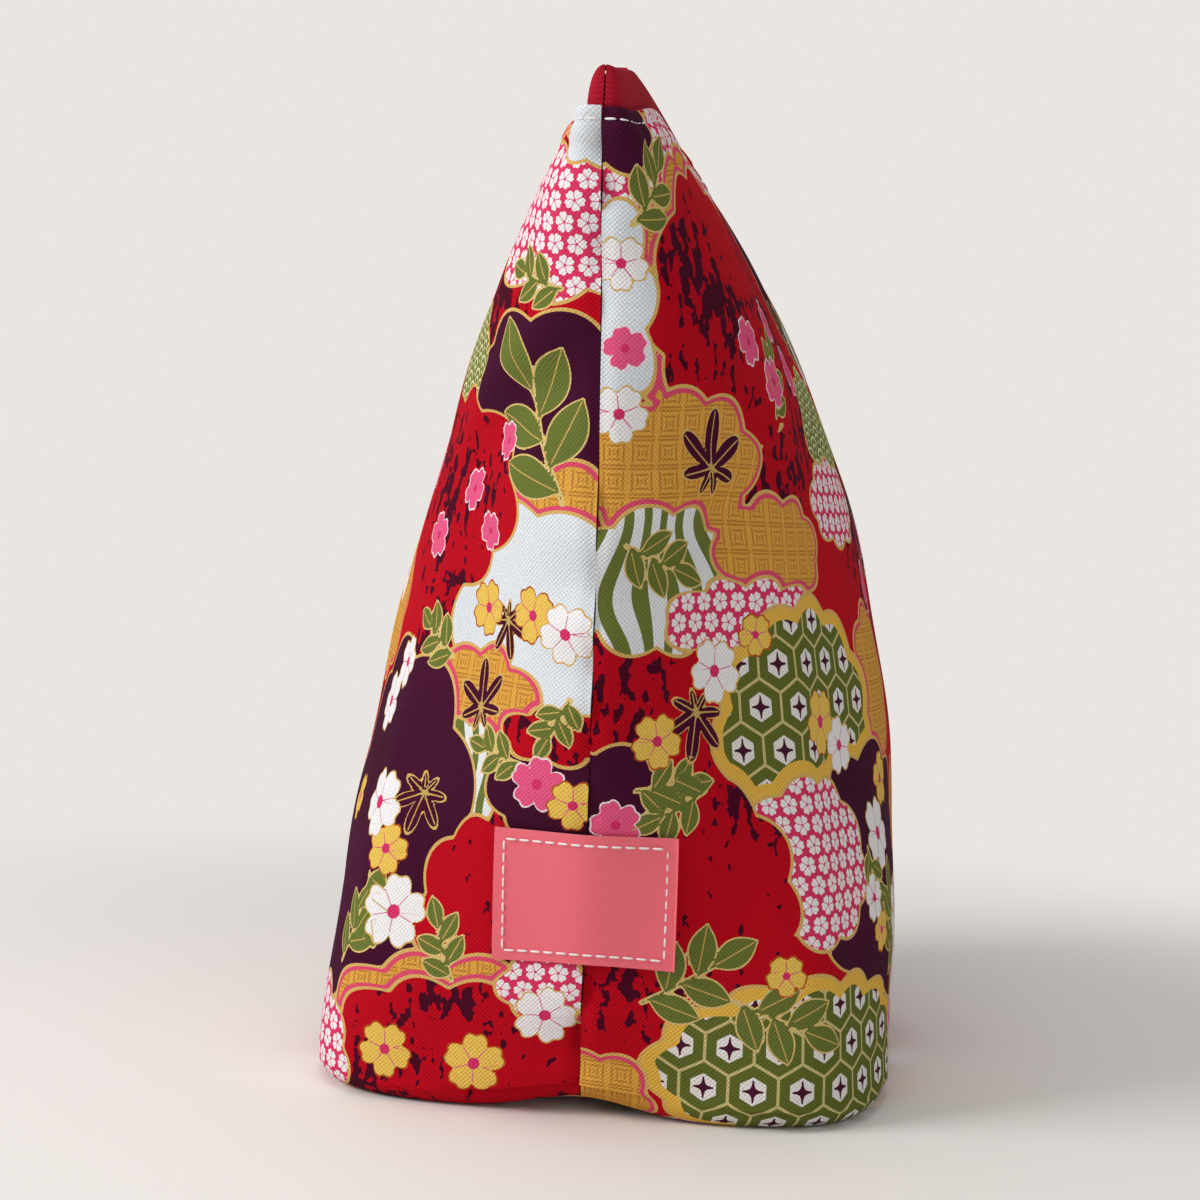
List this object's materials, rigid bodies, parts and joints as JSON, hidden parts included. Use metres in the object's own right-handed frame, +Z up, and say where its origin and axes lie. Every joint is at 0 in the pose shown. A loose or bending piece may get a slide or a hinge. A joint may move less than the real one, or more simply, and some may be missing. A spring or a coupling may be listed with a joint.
{
  "type": "wash bag",
  "caption": "Zip-top cotton wash bag with a boxed base, lined, with a moulded zip, slider and pull, and a sewn-on label on one end seam.",
  "frame": {"origin": "centre of the bag's footprint on the surface it stands on", "axes": "+X along the zip towards the labelled end, +Y towards the back panel, +Z up"},
  "size_m": [0.2704, 0.1382, 0.2348],
  "materials": {
    "printed_cotton": "matt woven cotton, printed",
    "lining_cotton": "matt woven cotton, plain",
    "zip_tape": "woven polyester tape",
    "zip_plastic": "moulded",
    "slider_metal": "enamelled",
    "label_satin": "woven satin"
  },
  "bodies": {
    "bag": {"outer_front": "printed_cotton", "outer_back": "printed_cotton", "lining_front": "lining_cotton", "lining_back": "lining_cotton", "zip_tape_front": "zip_tape", "zip_tape_back": "zip_tape", "zip_teeth_front": "zip_plastic", "zip_teeth_back": "zip_plastic", "zip_top_stop_front": "zip_plastic", "zip_top_stop_back": "zip_plastic", "zip_bottom_stop": "zip_plastic", "label": "label_satin"},
    "slider": {"zip_slider": "slider_metal"},
    "pull": {"zip_pull": "slider_metal"}
  },
  "joints": [
    {"name": "slider_slide", "type": "slide", "parent": "bag", "child": "slider", "axis": [1, 0, 0], "range_m": [0, 0.211], "deforming": ["zip_teeth_front", "zip_teeth_back"]},
    {"name": "pull_hinge", "type": "hinge", "parent": "slider", "child": "pull", "pos_m": [-0.1056, 0, 0.2328], "axis": [0, -1, 0], "range_deg": [0, 170]}
  ]
}
